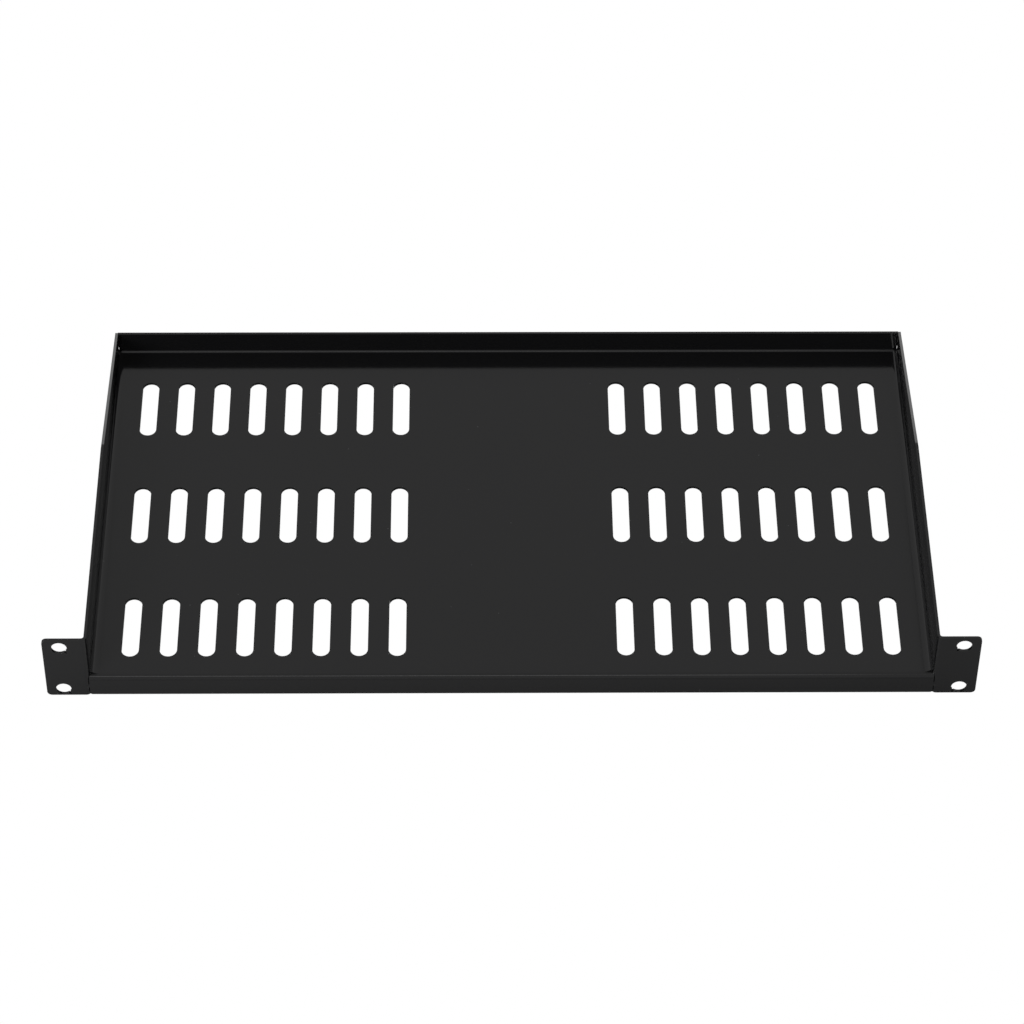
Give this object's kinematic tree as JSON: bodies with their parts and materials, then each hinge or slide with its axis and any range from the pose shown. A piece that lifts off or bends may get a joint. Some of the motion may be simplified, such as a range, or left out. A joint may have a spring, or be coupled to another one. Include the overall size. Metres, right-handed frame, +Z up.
{
  "type": "cantilever rack shelf",
  "caption": "Vented sheet-steel shelf with tapered side walls and front mounting ears that bolt to the front posts of a 19 inch rack.",
  "frame": {"origin": "centre of the four mounting holes, on the ears' rear faces, where they meet the rack's front posts", "axes": "+X across the rack to the right as seen from the front, +Y into the rack, +Z up"},
  "size_m": [0.4826, 0.243, 0.0426],
  "materials": {
    "shelf": "semi-gloss fine-texture black powder coat"
  },
  "bodies": {
    "root": {"shelf": "shelf"}
  },
  "joints": []
}
